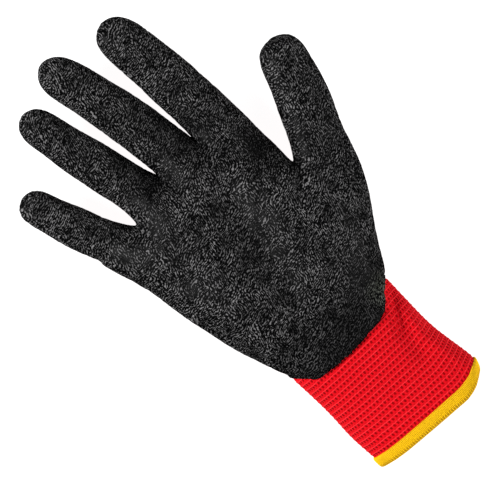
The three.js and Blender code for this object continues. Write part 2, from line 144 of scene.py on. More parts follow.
# Where each line of the cuff's rib lies, and how far its colour and its relief reach to each side, all as
# shares of the pitch from one cord to the next.
CORD_PHASE = 0.0
CORD_COLOUR_REACH = 0.15
CORD_RELIEF_REACH = 0.26
HOLE_PHASE = 0.65
HOLE_COLOUR_REACH = 0.32
HOLE_RELIEF_REACH = 0.3
DASH_PHASE = 0.19
DASH_COLOUR_REACH = 0.19
DASH_RELIEF_REACH = 0.16
# How much of the cuff's end isn't made, because the hem is wrapped round it.
HIDDEN_END = 1.0 * MM
# The upper side starts at this height, and has all of a form's height at twice it.
UPPER_SIDE = 7 * MM
# The fold of the cuff under the thumb: a groove beside a crest.
CUFF_FOLDS = [
    ((30.0, -66.0), (19.5, -84.0), 2.6, -2.3),
    ((31.0, -76.0), (24.5, -92.5), 3.4, 1.5),
    ((38.0, -76.0), (30.0, -94.0), 2.4, -0.9),
]
# The palm's hollow, the pads of the thumb, the fingers and the palm's outer side, and a dent in that.
PALM_FORMS = [
    ((5.0, 22.0), (-5.0, -34.0), 7.5, -2.8),
    ((17.0, -8.0), (7.0, -38.0), 9.0, 1.4),
    ((-34.0, 30.0), (-32.0, 18.0), 9.0, 0.3),
    ((-41.0, 9.0), (-38.5, 4.0), 4.0, -1.5),
    ((22.0, 32.0), (30.0, 22.0), 7.0, -1.2),
]
# The coating's outer face ends where it turns by more than this.
RIM_ANGLE = math.radians(60)
# Painted shade: places where the ridges' colour is darkened, at the finger webs and roots, along the palm's
# hollow and towards the dip's end. Each is a place in mm, its reach and the share of the ridges' colour that
# is lost.
PAINTED_SHADE_SPOTS = [
    ((10, 55, 21), 18, 0.92),
    ((-17, 50, 21), 16, 0.92),
    ((33, 27, 23), 18, 0.85),
    ((0, 10, 26), 15, 0.35),
    ((-4, -10, 26), 15, 0.6),
    ((-9, -30, 25), 14, 0.6),
    ((-40, 6, 19), 7, 0.8),
    ((26, -50, 22), 21, 0.7),
    ((4, -64, 24), 20, 0.7),
    ((-31, 33, 25), 13, 0.4),
    ((-48, 36, 21), 14, 0.35),
    ((0, 72, 19), 12, 0.6),
    ((-21, 68, 18), 12, 0.6),
    ((18, 100, 18), 10, 0.5),
    ((56, 14, 27), 15, 0.5),
]
# Which ways the crinkles' two slants run across, over what distance and how sharply they take turns, and how
# far the first one is ahead of the other.
SLANTS = ((-0.34, 0.94, 0.35), (-0.97, 0.26, 0.35))
TURN_SIZE = 9 * MM
TURN_SHARPNESS = 12
FIRST_SLANT_LEAD = 0.9
# The crinkles' waver: the size of its fine and its broad part and their strength, all in ridge spacings.
FINE_WAVER, FINE_WAVER_STRENGTH = 2.1, 1.5
BROAD_WAVER, BROAD_WAVER_STRENGTH = 7, 2.4
# The height of a crinkle is a sum of the slanted ridges and of pebbles as wide as they are, and of this base.
RIDGE_SHARE = 0.62
PEBBLE_SHARE = 2.94
HEIGHT_BASE = 0.16
# The patches where the ridges' painted highlight is fuller, standing in for the mottled light and shade over
# soft folds: their size, how they stand out and how full it is on average.
PATCH_SIZE = 7 * MM
PATCH_CONTRAST = 2.4
PATCH_BASE = 0.75
# How full the ridges' colour is at the dip's end, where it is darkened as painted shade, how rough the latex
# is in its hollows, and what its ridges add to that.
DIP_END_COLOUR = 0.15
HOLLOW_ROUGHNESS = 0.44
RIDGE_ROUGHNESS = 0.1
# Where the dip ends, and how far from there the crinkles' colour comes up out of the painted shade to its full
# strength.
DIP_END = -77 * MM
DIP_FADE = 36 * MM
# The thin spot at the corner of the dip under the thumb: its place in mm and its reach.
THIN_SPOT = ((27.5, -63.5, 25), 11)
# How far the coating's edge sinks towards the knit, how far it wanders, and how far its rim is turned down.
EDGE_SINK = 0.55 * MM
EDGE_WANDER = 0.55 * MM
RIM_DEPTH = 0.5 * MM
# The noises that the edge wanders by: their sizes and shares.
EDGE_NOISES = ((3.2 * MM, 1), (1.3 * MM, 0.5))
# The least share of the lumps and of the swell that is left at the edge.
EDGE_LEAST = 0.15
# The size of the coating's lumps, and how high their tops lie and how deep they fall off, in lump heights.
LUMP_SIZE = 2.3 * MM
LUMP_TOP = 0.64
LUMP_FALL = 3.2
# The size and height of the slow swell under the lumps.
SWELL_SIZE = 15 * MM
SWELL_HEIGHT = 0.55 * MM
# How soon the cuff's rows leave the slope of its open end and run straight across it.
ROW_STRAIGHTENING = 1.7
# Where each finger leaves the palm in mm, and how far it leans to the right in degrees. Little finger first.
FINGER_ROOTS = [
    (-47.5, 39.5, -22.5),
    (-24, 46, -13),
    (-0.3, 50, -11.5),
    (25.5, 47, -5),
    (53, 8, 22),
]
# How high a loop of the plain knit is, as a share of its width, and how far its legs slant, in loops.
LOOP_HEIGHT = 0.8
LEG_SLANT = 0.9
# How far a finger's stitches reach to each side of its middle line, and half the stretch at its root where
# they turn into the palm's, in mm.
FINGER_REACH = 15
ROOT_BLEND = 8
# Each lamp's place, with the picture's top as +Y, and its power in watts.
LAMPS = [
    ((-1.1, -0.1, 0.72), 31),
    ((1.0, -0.2, 0.6), 12.5),
    ((0.3, 1.0, 0.8), 4),
]
LAMP_SIZE = 0.5
# The strength of the light from all round, and of the floor's own white.
SKY_LIGHT = 0.02
FLOOR_GLOW = 0.97
# How much the fabrics' surfaces reflect, and their roughness.
FABRIC_GLOSS = 0.06
FABRIC_ROUGHNESS = 0.9
# The size of the fibres, and the height of the bump, for the rib, the plain knit and the thread.
RIB_FIBRES = 0.4 * MM
RIB_BUMP = 0.3 * MM
LOOP_FIBRES = 0.3 * MM
LOOP_BUMP = 0.35 * MM
THREAD_FIBRES = 0.25 * MM
THREAD_BUMP = 0.12 * MM
# How far under the glove the floor lies, and how wide it is.
FLOOR_DROP = 0.02 * MM
FLOOR_SIZE = 8
# What the camera looks at from straight above, and from which share of its distance to which it sees.
VIEW_CENTRE = (-2.6 * MM, -3.3 * MM, 16 * MM)
CLIP_SHARES = (0.05, 10)


# Settings


def colour(name, description, value):
    return FloatVectorProperty(
        name=name, description=description, subtype="COLOR", size=3, min=0, max=1, default=value
    )


def length(name, description, value):
    return FloatProperty(name=name, description=description, unit="LENGTH", default=value, precision=5)


class LatexSettings(PropertyGroup):
    # The ridges' lighter colour is a painted highlight, and the hollows' dark colour is painted shade.
    ridge_highlight_colour: colour("Ridges", "Colour of the crinkled latex on its ridges", (0.152, 0.149, 0.151))
    hollow_shade_colour: colour("Hollows", "Colour of the latex down between its ridges", (0.0008, 0.0008, 0.0009))
    worn_colour: colour(
        "Thin spot", "Colour where the dip thins out at its thumb-side corner", (0.12, 0.13, 0.105)
    )
    ridge_spacing: length("Ridge spacing", "Distance from one crinkle to the next", 1.02 * MM)
    ridge_height: length("Ridge height", "Height of the fine crinkles", 0.37 * MM)
    lump_height: length("Lump height", "Height of the lumps under the fine crinkles", 0.16 * MM)
    edge_width: length("Edge width", "How far in from its edge the coating thins out", 2.2 * MM)


class KnitSettings(PropertyGroup):
    hand_colour: colour("Hand", "Colour of the plain knit of the hand", (0.56, 0.003, 0.006))
    cuff_colour: colour("Cuff", "Colour of the cuff between its cords", (0.6, 0.003, 0.008))
    # The cords' lighter colour is a painted highlight on the raised cords.
    cord_highlight_colour: colour("Cords", "Colour of the raised cords across the cuff", (0.82, 0.024, 0.034))
    # The holes' dark colour is painted shade, down in the cuff's holes and dashed line and between the hand's
    # loops.
    hole_shade_colour: colour("Holes", "Colour down between the stitches", (0.24, 0.0, 0.001))
    cord_pitch: length("Cord pitch", "Distance from one cord of the cuff to the next", 2.79 * MM)
    stitch_pitch: length("Stitch pitch", "Distance from one stitch of a cord to the next", 2.13 * MM)
    relief: length("Relief", "Height of the cords above the ground of the cuff", 0.42 * MM)
    loop_width: length("Loop width", "Width of one loop of the hand's plain knit", 1.15 * MM)


class HemSettings(PropertyGroup):
    thread_colour: colour("Thread", "Colour of the overlock thread", (0.93, 0.55, 0.002))
    # The gaps' dark colour is painted shade between the threads and on the row of knots.
    gap_shade_colour: colour("Gaps", "Colour down between the threads", (0.4, 0.2, 0.0))
    thread_pitch: length("Thread pitch", "Distance from one thread to the next along the hem", 0.66 * MM)
    thread_relief: length("Thread relief", "How far a thread stands above the gap beside it", 0.16 * MM)
    threads_across: IntProperty(
        name="Slant", description="Threads that the slant passes across the hem", default=3
    )


class StageSettings(PropertyGroup):
    floor_colour: colour("Floor", "Colour of the floor", (0.25, 0.25, 0.25))
    lens: FloatProperty(name="Lens", description="Focal length of the camera in millimetres", default=200)
    view_width: length("View width", "Width of what the camera sees at the glove", 240.5 * MM)
    turn: FloatProperty(
        name="Turn",
        description="How far the fingers lean left of the picture's top",
        subtype="ANGLE",
        default=math.radians(44),
    )


# Meshes


def activate(piece):
    """Makes a piece the only selected object and the active one."""
    bpy.ops.object.select_all(action="DESELECT")
    piece.select_set(True)
    bpy.context.view_layer.objects.active = piece


def copy_of_nodes(name, *nodes):
    """A copy of some solids as one new piece of four-sided faces, closed over the seams between them."""
    copies = []
    for node in nodes:
        copy = bpy.data.objects.new(name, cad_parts[node].data.copy())
        bpy.context.collection.objects.link(copy)
        copy.data.materials.clear()
        copies.append(copy)
    activate(copies[0])
    for copy in copies:
        copy.select_set(True)
    if len(copies) > 1:
        bpy.ops.object.join()
    bpy.ops.object.mode_set(mode="EDIT")
    bpy.ops.mesh.select_all(action="SELECT")
    bpy.ops.mesh.remove_doubles(threshold=SAME_POINT)
    if len(copies) > 1:
        bpy.ops.mesh.remove_doubles(threshold=SEAM_GAP)
        bpy.ops.mesh.select_all(action="DESELECT")
        bpy.ops.mesh.select_mode(type="FACE")
        bpy.ops.mesh.select_interior_faces()
        bpy.ops.mesh.delete(type="FACE")
        bpy.ops.mesh.select_all(action="SELECT")
    bpy.ops.mesh.tris_convert_to_quads(face_threshold=math.radians(70), shape_threshold=math.radians(100))
    bpy.ops.object.mode_set(mode="OBJECT")
    return copies[0]


def get_points(mesh):
    """A mesh's points as an array of rows."""
    points = np.empty(len(mesh.vertices) * 3, np.float32)
    mesh.vertices.foreach_get("co", points)
    return points.reshape(-1, 3).astype(float)


def set_points(mesh, points):
    """Moves a mesh's points to the rows of an array."""
    mesh.vertices.foreach_set("co", np.asarray(points, np.float32).ravel())
    mesh.update()


def get_normals(mesh):
    """Which way is out at each point of a mesh."""
    normals = np.empty(len(mesh.vertices) * 3, np.float32)
    mesh.vertex_normals.foreach_get("vector", normals)
    return normals.reshape(-1, 3).astype(float)


def smooth_through(piece, levels):
    """Subdivides a piece into a smooth surface that still passes through its own points."""
    mesh = piece.data
    target = get_points(mesh)
    modifier = piece.modifiers.new("smooth", "SUBSURF")
    modifier.levels = modifier.render_levels = 1
    cage = target.copy()
    for _ in range(CAGE_ROUNDS):
        set_points(mesh, cage)
        depsgraph = bpy.context.evaluated_depsgraph_get()
        reached = get_points(piece.evaluated_get(depsgraph).data)[: len(target)]
        cage += target - reached
    set_points(mesh, cage)
    modifier.levels = modifier.render_levels = levels
    activate(piece)
    bpy.ops.object.modifier_apply(modifier=modifier.name)
    bpy.ops.object.shade_smooth()


def tree_of(*nodes):
    """A search tree over the faces of some solids."""
    points, faces = [], []
    for node in nodes:
        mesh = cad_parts[node].data
        first = len(points)
        points += [v.co for v in mesh.vertices]
        faces += [[first + i for i in p.vertices] for p in mesh.polygons]
    return BVHTree.FromPolygons(points, faces)


def grid_faces(rows, columns):
    """The faces between rings of points. They point outwards where the rings follow each other along +Y."""
    r, c = np.meshgrid(np.arange(rows - 1), np.arange(columns), indexing="ij")
    after = (c + 1) % columns
    corners = [r * columns + c, (r + 1) * columns + c, (r + 1) * columns + after, r * columns + after]
    return np.stack(corners, axis=-1).reshape(-1, 4)


def corner_places(places, faces, count):
    """The pattern's place at each face corner, carried on past its count where a face closes the ring."""
    corners = places[faces]
    wraps = corners[..., 0] < corners[..., 0].max(axis=1, keepdims=True) - count / 2
    corners[..., 0] += wraps * count
    return corners.reshape(-1, 2)


def map_pattern(mesh, places):
    """Gives a mesh its pattern map, from a place for each face corner."""
    layer = mesh.uv_layers.new(name="pattern")
    layer.data.foreach_set("uv", np.asarray(places, np.float32).ravel())


def make_piece(name, points, faces, places):
    """A piece from points, faces and the pattern's place at each face corner."""
    mesh = bpy.data.meshes.new(name)
    mesh.from_pydata(np.asarray(points).tolist(), [], [list(map(int, f)) for f in faces])
    map_pattern(mesh, places)
    mesh.validate()
    piece = bpy.data.objects.new(name, mesh)
    bpy.context.collection.objects.link(piece)
    activate(piece)
    bpy.ops.object.shade_smooth()
    return piece


def finish_piece(piece, slot, material, *nodes):
    """Gives a piece its material, hangs it under the root and hides the solids it stands for."""
    piece.data.materials.clear()
    piece.data.materials.append(material)
    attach(piece, "root")
    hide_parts(*nodes)


def noise_at(points, size, shift=(0, 0, 0)):
    """Smooth noise from -1 to 1 at some points, with features of about a size."""
    return np.array([noise.noise(Vector(point) / size + Vector(shift)) for point in points])


def under_coating(points):
    """1 where the coating covers a point, falling to 0 within a little way past its edge."""
    tree = tree_of("latex_coating")
    away = np.array([tree.find_nearest(point)[3] for point in points])
    return np.clip((SINKING_END - away) / SINKING_FADE, 0, 1)


def form_heights(points, forms):
    """How far some forms raise or sink the upper side. Each is a line in mm with its reach and its height."""
    heights = np.zeros(len(points))
    for start, end, reach, height in forms:
        start, end = np.array(start) * MM, np.array(end) * MM
        line = end - start
        share = np.clip(((points[:, :2] - start) @ line) / (line @ line), 0, 1)
        away = np.linalg.norm(points[:, :2] - start - share[:, None] * line, axis=1)
        heights += height * MM * np.exp(-((away / (reach * MM)) ** 2))
    return heights * np.clip((points[:, 2] - UPPER_SIDE) / UPPER_SIDE, 0, 1)


# Materials


class Value:
    """A number that varies over a surface. Expressions on it add the material's Math nodes."""

    def __init__(self, socket):
        self.socket = socket

    def _math(self, operation, *others, first=True):
        tree = self.socket.id_data
        node = tree.nodes.new("ShaderNodeMath")
        node.operation = operation
        terms = [self, *others] if first else [*others, self]
        for slot, term in zip(node.inputs, terms):
            if isinstance(term, Value):
                tree.links.new(term.socket, slot)
            else:
                slot.default_value = term
        return Value(node.outputs[0])

    def __add__(self, other):
        return self._math("ADD", other)

    def __sub__(self, other):
        return self._math("SUBTRACT", other)

    def __rsub__(self, other):
        return self._math("SUBTRACT", other, first=False)

    def __mul__(self, other):
        return self._math("MULTIPLY", other)

    def __pow__(self, other):
        return self._math("POWER", other)

    __radd__ = __add__

    def __abs__(self):
        return self._math("ABSOLUTE")

    def cosine(self):
        return self._math("COSINE")

    def wrap(self):
        return self._math("FRACT")

    def clip(self):
        return self._math("MAXIMUM", 0.0)._math("MINIMUM", 1.0)


class Finish:
    """A material, built node by node round one Principled shader."""

    def __init__(self, name, **shader):
        self.material = bpy.data.materials.new(name)
        self.material.use_nodes = True
        self.tree = self.material.node_tree
        self.shader = self.tree.nodes["Principled BSDF"]
        for socket, value in shader.items():
            self.shader.inputs[socket.replace("_", " ").title().replace("Ior", "IOR")].default_value = value
        self.place = self.add("ShaderNodeTexCoord").outputs["Object"]

    def add(self, kind, settings=None, inputs=None):
        """Adds a node: its settings first, then the values or links of its sockets."""
        node = self.tree.nodes.new(kind)
        for name, value in (settings or {}).items():
            setattr(node, name, value)
        for name, value in (inputs or {}).items():
            if isinstance(value, Value):
                value = value.socket
            if isinstance(value, bpy.types.NodeSocket):
                self.tree.links.new(value, node.inputs[name])
            else:
                node.inputs[name].default_value = value
        return node

    def noise(self, size, detail=0.0):
        """Smooth noise from 0 to 1, with features of about a size in metres."""
        inputs = {"Vector": self.place, "Scale": 1 / size, "Detail": detail}
        return Value(self.add("ShaderNodeTexNoise", None, inputs).outputs["Fac"])

    def mix(self, share, a, b):
        """Colour a where share is 0 and colour b where it is 1."""
        inputs = {0: share}
        for slot, value in ((6, a), (7, b)):
            inputs[slot] = value if isinstance(value, bpy.types.NodeSocket) else (*value, 1.0)
        return self.add("ShaderNodeMix", {"data_type": "RGBA"}, inputs).outputs[2]

    def along(self, direction):
        """How far a place on the piece lies along a direction."""
        inputs = {0: self.place, 1: direction}
        return Value(self.add("ShaderNodeVectorMath", {"operation": "DOT_PRODUCT"}, inputs).outputs["Value"])

    def near(self, centre, reach):
        """1 at a point of the piece, falling to 0 at a reach from it."""
        inputs = {0: self.place, 1: centre}
        distance = Value(self.add("ShaderNodeVectorMath", {"operation": "DISTANCE"}, inputs).outputs["Value"])
        return (1 - distance * (1 / reach)).clip()

    def pattern(self):
        """The two numbers of the piece's own pattern map."""
        inputs = {0: self.add("ShaderNodeUVMap", {"uv_map": "pattern"}).outputs[0]}
        split = self.add("ShaderNodeSeparateXYZ", None, inputs)
        return Value(split.outputs[0]), Value(split.outputs[1])

    def link(self, socket, value):
        """Lets a value vary one of the shader's sockets."""
        value = value.socket if isinstance(value, Value) else value
        self.tree.links.new(value, self.shader.inputs[socket])

    def bump(self, height, distance):
        """Raises the surface by a share of a distance in metres."""
        inputs = {"Height": height, "Distance": distance, "Strength": 1.0}
        self.link("Normal", self.add("ShaderNodeBump", None, inputs).outputs[0])


def latex_material(settings):
    """Worm-like crinkles across two slants that take turns over the hand, with dark valleys between them. The
    ridges' lighter colour is a painted highlight and the valleys' dark colour is painted shade.
    """
    finish = Finish("black_latex", specular_ior_level=0.035)
    pitch = settings.ridge_spacing
    fine = finish.noise(FINE_WAVER * pitch) * FINE_WAVER_STRENGTH
    waver = fine + finish.noise(BROAD_WAVER * pitch) * BROAD_WAVER_STRENGTH
    first = ((finish.along(SLANTS[0]) * (1 / pitch) + waver) * CIRCLE).cosine()
    second = ((finish.along(SLANTS[1]) * (1 / pitch) - waver) * CIRCLE).cosine()
    turns = ((finish.noise(TURN_SIZE) - 0.5) * TURN_SHARPNESS + FIRST_SLANT_LEAD).clip()
    worms = first * turns + second * (1 - turns)
    pebbles = (finish.noise(pitch) - 0.5) * PEBBLE_SHARE
    ridges = (worms * RIDGE_SHARE + pebbles + HEIGHT_BASE).clip()
    patches = ((finish.noise(PATCH_SIZE, 2.0) - 0.5) * PATCH_CONTRAST + PATCH_BASE).clip()
    # Painted shade: the ridges' colour is darkened towards the dip's end.
    past_end = ((finish.along((0, 1, 0)) - DIP_END) * (1 / DIP_FADE)).clip()
    tops = ridges ** 2.0 * (DIP_END_COLOUR + past_end * (1 - DIP_END_COLOUR))
    # Painted shade: the ridges' colour is darkened round each of these spots.
    for place, reach, loss in PAINTED_SHADE_SPOTS:
        shade_spot = finish.near(tuple(x * MM for x in place), reach * MM)
        tops = tops * (1 - shade_spot * loss)
    # Painted highlight and shade: the ridges take the lighter ridge colour and the hollows the dark one, and
    # the patches vary how much painted highlight shows.
    base = finish.mix(tops * patches, tuple(settings.hollow_shade_colour), tuple(settings.ridge_highlight_colour))
    place, reach = THIN_SPOT
    thin = finish.near(tuple(x * MM for x in place), reach * MM)
    finish.link("Base Color", finish.mix(thin * ridges, base, tuple(settings.worn_colour)))
    finish.link("Roughness", HOLLOW_ROUGHNESS + tops * RIDGE_ROUGHNESS)
    finish.bump(ridges, settings.ridge_height)
    return finish.material


def rib_material(settings):
    """Colours by the same rows that the cuff's relief has: a cord lightened with a painted highlight, and a
    row of holes and a dashed line darkened with painted shade.
    """
    finish = Finish("red_rib", roughness=FABRIC_ROUGHNESS, specular_ior_level=FABRIC_GLOSS)
    stitch, cord = finish.pattern()
    beat = (stitch * CIRCLE).cosine()

    def row(phase, reach):
        return (1 - abs((cord + (0.5 - phase)).wrap() - 0.5) * (1 / reach)).clip()

    raised = row(CORD_PHASE, CORD_COLOUR_REACH)
    uneven = finish.noise(1.3 * MM) + 0.5
    holes = (row(HOLE_PHASE, HOLE_COLOUR_REACH) * ((beat + 0.2) * 1.2).clip() * 1.8 * uneven).clip()
    dashes = row(DASH_PHASE, DASH_COLOUR_REACH) * (0.55 - beat * 0.45)
    # Painted highlight: the raised cords are coloured lighter, unevenly over the cuff.
    uneven_light = finish.noise(7 * MM, 2.0)
    ground = finish.mix(raised * (0.5 + uneven_light * 0.9), tuple(settings.cuff_colour), tuple(settings.cord_highlight_colour))
    # Painted shade: the holes and the dashed line take the darker hole colour.
    finish.link("Base Color", finish.mix((holes + dashes * 0.6).clip(), ground, tuple(settings.hole_shade_colour)))
    fibres = finish.noise(RIB_FIBRES, 1.0)
    finish.bump(raised * 0.5 - holes * 0.6 - dashes * 0.35 + fibres * 0.35, RIB_BUMP)
    return finish.material


def jersey_material(settings):
    """Plain knit: columns of slanted legs, with a valley between each two columns. The valleys and the middle
    of each column are darkened with painted shade.
    """
    finish = Finish("red_knit", roughness=FABRIC_ROUGHNESS, specular_ior_level=FABRIC_GLOSS)
    wale, course = finish.pattern()
    side = abs(wale.wrap() - 0.5)
    leg = ((course + side * LEG_SLANT) * CIRCLE).cosine()
    valley = (1 - abs(side - 0.5) * 7).clip()
    middle = (1 - side * 8).clip()
    yarn = ((leg + 0.6) * 0.7).clip() * (1 - valley) * (1 - middle * 0.6)
    # Painted shade: the valleys between the columns and the middle of each column take the darker hole colour.
    base = finish.mix(yarn, tuple(settings.hole_shade_colour), tuple(settings.hand_colour))
    finish.link("Base Color", base)
    fibres = finish.noise(LOOP_FIBRES, 1.0)
    finish.bump(yarn + fibres * 0.25, LOOP_BUMP)
    return finish.material


def thread_material(settings):
    """Threads side by side across the hem, with a row of knots where every second one crosses. Painted shade
    darkens the gaps between the threads and the knots.
    """
    finish = Finish("yellow_thread", roughness=0.75, specular_ior_level=0.12)
    thread, across = finish.pattern()
    top = ((thread * CIRCLE).cosine() * 0.6 + 0.55).clip()
    # Painted shade: the gaps between the threads, and the knots, take the darker gap colour, unevenly along
    # the hem.
    uneven_light = finish.noise(3 * MM, 2.0)
    share = (top * (0.75 + uneven_light * 0.5)).clip()
    knots = (1 - abs(across - HEM_KNOTS) * 1.8).clip() * ((thread * math.pi).cosine() + 0.1).clip()
    share = (share - knots * 1.2).clip()
    finish.link("Base Color", finish.mix(share, tuple(settings.gap_shade_colour), tuple(settings.thread_colour)))
    fibres = finish.noise(THREAD_FIBRES, 1.0)
    finish.bump(top + fibres * 0.3, THREAD_BUMP)
    return finish.material


# The cuff's wall


class CuffWall:
    """The outer wall of the cuff as rings of evenly spaced points, from its open end to the wrist."""

    def __init__(self, columns):
        self.columns = columns
        piece = copy_of_nodes("cuff_shape", "ribbed_cuff")
        self.solid = tree_of("ribbed_cuff")
        smooth_through(piece, KNIT_LEVELS)
        mesh = piece.data
        points = get_points(mesh)
        self.tree = BVHTree.FromPolygons(points.tolist(), [list(p.vertices) for p in mesh.polygons])
        low, high = points.min(axis=0), points.max(axis=0)
        self.centre = np.array([(low[0] + high[0]) / 2, 0, high[2] * 0.5])
        self.wrist = high[1]
        angles = np.linspace(-0.5, 1.5, WALL_RAYS) * math.pi
        self.outward = np.stack([np.cos(angles), 0 * angles, np.sin(angles)], axis=1)
        ends = self.end_of_wall(low[1])
        shares = np.linspace(0, 1, WALL_RINGS)
        lowest = ends.min()
        straight = lowest + (self.wrist - lowest) * shares
        bent = (1 - shares) ** ROW_STRAIGHTENING
        self.rings = np.array([self.ring(y + (ends - lowest) * bend) for y, bend in zip(straight, bent)])
        self.length = float(self.wrist - ends.mean())
        middle = self.rings[WALL_RINGS // 2]
        self.girth = float(np.linalg.norm(np.diff(middle, axis=0), axis=1).sum())
        bpy.data.objects.remove(piece)

    def hit(self, tree, outward, y):
        """The outside of the wall at an angle and a place along the cuff, or nothing past its end."""
        start = Vector(self.centre + outward * RAY_START)
        start.y = y
        found = tree.ray_cast(start, Vector(-outward))[0]
        if found is None or (np.array(found) - self.centre) @ outward < 0:
            return None
        return np.array(found)

    def end_of_wall(self, low):
        """How far the wall reaches at each angle, found by halving the stretch that holds its end."""
        ends = []
        for outward in self.outward:
            beyond, within = low - END_BEFORE, low + END_PAST
            for _ in range(END_HALVINGS):
                middle = (beyond + within) / 2
                if self.hit(self.solid, outward, middle) is None:
                    beyond = middle
                else:
                    within = middle
            ends.append(within)
        return np.array(ends)

    def ring(self, heights):
        """The wall's points at a place along the cuff for each ray, spaced evenly round it."""
        heights = np.minimum(heights, self.wrist - WRIST_MARGIN)
        ring = []
        for outward, y in zip(self.outward, heights):
            steps = (side * step for step in NEARBY for side in (1, -1))
            tries = (self.hit(self.tree, outward, y + step) for step in steps)
            found = next((place for place in tries if place is not None), None)
            if found is None:
                raise RuntimeError(f"The cuff's wall wasn't found at {y / MM:.1f} mm")
            ring.append((found[0], y, found[2]))
        ring = np.array(ring)
        steps = np.linalg.norm(np.diff(ring, axis=0), axis=1)
        along = np.concatenate([[0], np.cumsum(steps)])
        even = np.linspace(0, along[-1], self.columns + 1)[:-1]
        return np.stack([np.interp(even, along, ring[:, axis]) for axis in range(3)], axis=1)

    def at(self, share):
        """The ring at a share of the way from the open end to the wrist."""
        place = np.clip(share, 0, 1) * (len(self.rings) - 1)
        below = min(int(place), len(self.rings) - 2)
        return self.rings[below] * (1 - (place - below)) + self.rings[below + 1] * (place - below)

    def outward_at(self, share):
        """Which way is out of the wall at each point of a ring."""
        ring = self.at(share)
        around = np.roll(ring, -1, axis=0) - np.roll(ring, 1, axis=0)
        out = np.cross(around, (0, 1, 0))
        out = sum(np.roll(out, k, axis=0) for k in range(-2, 3))
        out /= np.linalg.norm(out, axis=1)[:, None]
        towards = ring - self.centre
        flip = np.sign((out[:, [0, 2]] * towards[:, [0, 2]]).sum(axis=1))
        return out * flip[:, None]


# Pieces


class GLOVE_OT_coating(Operator):
    """Make the crinkled latex from the coating's outer face: lumps, a thin uneven edge and a fine bump"""

    bl_idname = "glove.coating"
    bl_label = "Latex coating"

    def execute(self, context):
        settings = context.scene.glove_latex
        piece = copy_of_nodes("crinkled_latex", "latex_coating")
        self.keep_outer_face(piece)
        smooth_through(piece, COATING_LEVELS)
        self.thin_edge(piece, settings)
        self.add_lumps(piece, settings)
        self.close_edge(piece)
        finish_piece(piece, "black_latex", latex_material(settings), "latex_coating")
        return {"FINISHED"}

    def keep_outer_face(self, piece):
        """Deletes the sheet that lies on the knit, and the sharp-edged rim that joins it to the outer one."""
        mesh = piece.data
        activate(piece)
        bpy.ops.object.mode_set(mode="EDIT")
        bpy.ops.mesh.select_mode(type="FACE")
        bpy.ops.mesh.select_all(action="DESELECT")
        bpy.ops.object.mode_set(mode="OBJECT")
        top = max(mesh.polygons, key=lambda face: face.center.z)
        top.select = True
        mesh.polygons.active = top.index
        bpy.ops.object.mode_set(mode="EDIT")
        bpy.ops.mesh.faces_select_linked_flat(sharpness=RIM_ANGLE)
        bpy.ops.mesh.select_all(action="INVERT")
        bpy.ops.mesh.delete(type="FACE")
        bpy.ops.object.mode_set(mode="OBJECT")

    def edge_of(self, mesh):
        """How far each point lies from the open edge, and which way is out past the edge there."""
        shape = bmesh.new()
        shape.from_mesh(mesh)
        out = {}
        for vertex in shape.verts:
            if vertex.is_boundary:
                inner = [edge.other_vert(vertex) for edge in vertex.link_edges if not edge.is_boundary]
                inwards = sum((other.co - vertex.co for other in inner), Vector())
                out[vertex.index] = -inwards.normalized()
        shape.free()
        points = get_points(mesh)
        tree = kdtree.KDTree(len(out))
        for index in out:
            tree.insert(points[index], index)
        tree.balance()
        found = [tree.find(point) for point in points]
        away = np.array([distance for _, _, distance in found])
        return away, np.array([out[index] for _, index, _ in found])

    def thin_edge(self, piece, settings):
        """Thins the coating towards its edge and lets the edge wander."""
        points, normals = get_points(piece.data), get_normals(piece.data)
        away, out = self.edge_of(piece.data)
        near = np.clip(1 - away / settings.edge_width, 0, 1)
        near = near * near * (3 - 2 * near)
        uneven = sum(share * noise_at(points, size) for size, share in EDGE_NOISES)
        points -= normals * (near * EDGE_SINK)[:, None]
        points += out * (near * uneven * EDGE_WANDER)[:, None]
        set_points(piece.data, points)

    def add_lumps(self, piece, settings):
        """Raises small lumps and a slow swell, and adds the forms of the palm and the cuff's fold."""
        points, normals = get_points(piece.data), get_normals(piece.data)
        away, _ = self.edge_of(piece.data)
        inside = np.clip(away / settings.edge_width, EDGE_LEAST, 1)
        lumps = LUMP_TOP - LUMP_FALL * np.abs(noise_at(points, LUMP_SIZE))
        swell = noise_at(points, SWELL_SIZE, (7, 3, 1))
        heights = lumps * settings.lump_height + swell * SWELL_HEIGHT * inside
        points += normals * (heights * inside)[:, None]
        points[:, 2] += form_heights(points, CUFF_FOLDS) + form_heights(points, PALM_FORMS)
        set_points(piece.data, points)

    def close_edge(self, piece):
        """Turns the open edge down onto the knit."""
        activate(piece)
        shape = bmesh.new()
        shape.from_mesh(piece.data)
        shape.normal_update()
        edge = [e for e in shape.edges if e.is_boundary]
        before = {v: v.normal.copy() for e in edge for v in e.verts}
        new = bmesh.ops.extrude_edge_only(shape, edges=edge)
        made = [v for v in new["geom"] if isinstance(v, bmesh.types.BMVert)]
        places = {tuple(round(x, 7) for x in v.co): n for v, n in before.items()}
        for v in made:
            v.co -= places[tuple(round(x, 7) for x in v.co)] * RIM_DEPTH
        shape.to_mesh(piece.data)
        shape.free()
        bpy.ops.object.shade_smooth()


